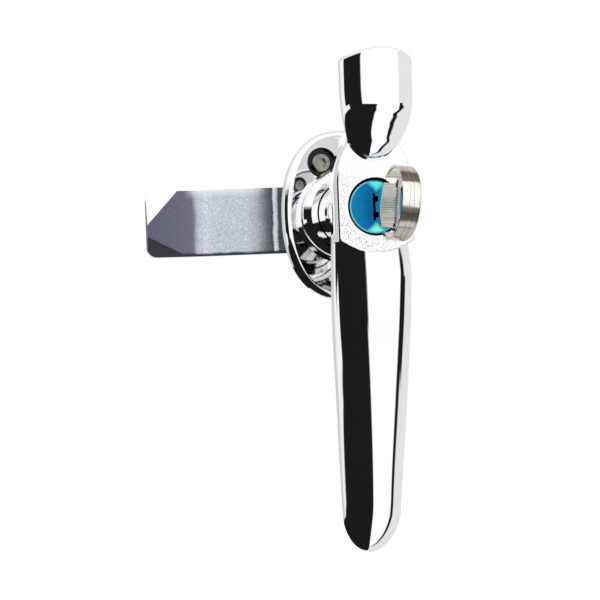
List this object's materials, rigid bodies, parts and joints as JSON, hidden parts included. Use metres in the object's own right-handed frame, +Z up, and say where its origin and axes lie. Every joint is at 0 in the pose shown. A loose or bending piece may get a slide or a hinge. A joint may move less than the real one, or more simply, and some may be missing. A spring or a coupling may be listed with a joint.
{
  "type": "swing handle lock",
  "caption": "Chrome swing handle lock with a long half-round grip, oval base, keyed core under a hinged dust cap, and a cranked cam behind the door.",
  "frame": {"origin": "on the spindle axis, in the plane of the door skin that the back of the base rests on", "axes": "+Z up along the grip towards the horn, -Y out of the door, +Y into the cabinet, +X to the right seen from the front; grip down and cap open"},
  "size_m": [0.0848, 0.0915, 0.1649],
  "materials": {
    "chrome": "bright chrome plate on zinc die-casting",
    "cap_nickel": "bright nickel plate",
    "core_blue": "blue metallic coating",
    "core_sleeve": "turned brass",
    "wafer_brass": "stamped brass",
    "cam_zinc": "zinc plated pressed steel",
    "steel": "zinc plated steel",
    "screw_steel": "plated steel fastener",
    "spring_steel": "spring steel",
    "seal_rubber": "black rubber",
    "bush_plastic": "black acetal"
  },
  "bodies": {
    "base": {"base": "chrome", "base_gasket": "seal_rubber", "base_screws": "screw_steel", "bearing_bush": "bush_plastic", "wave_washer": "spring_steel", "thrust_washer": "bush_plastic"},
    "handle": {"handle": "chrome", "neck_o_ring": "seal_rubber", "spindle": "steel", "stop_washer": "steel", "cam_spacer": "steel", "cam": "cam_zinc", "cam_washer": "screw_steel", "cam_lock_washer": "spring_steel", "cam_screw": "screw_steel", "cylinder_housing": "core_sleeve", "housing_set_screw": "screw_steel", "cap_hinge_pin": "steel", "cap_spring": "spring_steel"},
    "plug": {"cylinder_plug": "core_blue", "wafers": "wafer_brass", "wafer_springs": "spring_steel", "plug_clip": "spring_steel"},
    "bolt": {"locking_bolt": "steel"},
    "cap": {"dust_cap": "cap_nickel"}
  },
  "joints": [
    {"name": "handle_turn", "type": "hinge", "parent": "base", "child": "handle", "pos_m": [0, 0, 0], "axis": [0, -1, 0], "range_deg": [0, 90]},
    {"name": "plug_turn", "type": "hinge", "parent": "handle", "child": "plug", "pos_m": [0, -0.03, 0], "axis": [0, -1, 0], "range_deg": [0, 90]},
    {"name": "bolt_slide", "type": "slide", "parent": "handle", "child": "bolt", "axis": [0, 0, -1], "range_m": [0, 0.0022]},
    {"name": "cap_swing", "type": "hinge", "parent": "handle", "child": "cap", "pos_m": [0.00581, -0.0449, -0.00021], "axis": [0.1045, 0, 0.9945], "range_deg": [-90, 0]}
  ],
  "couplings": [
    {"joint": "bolt_slide", "follows": "plug_turn", "m_per_rad": 0.0014005}
  ]
}
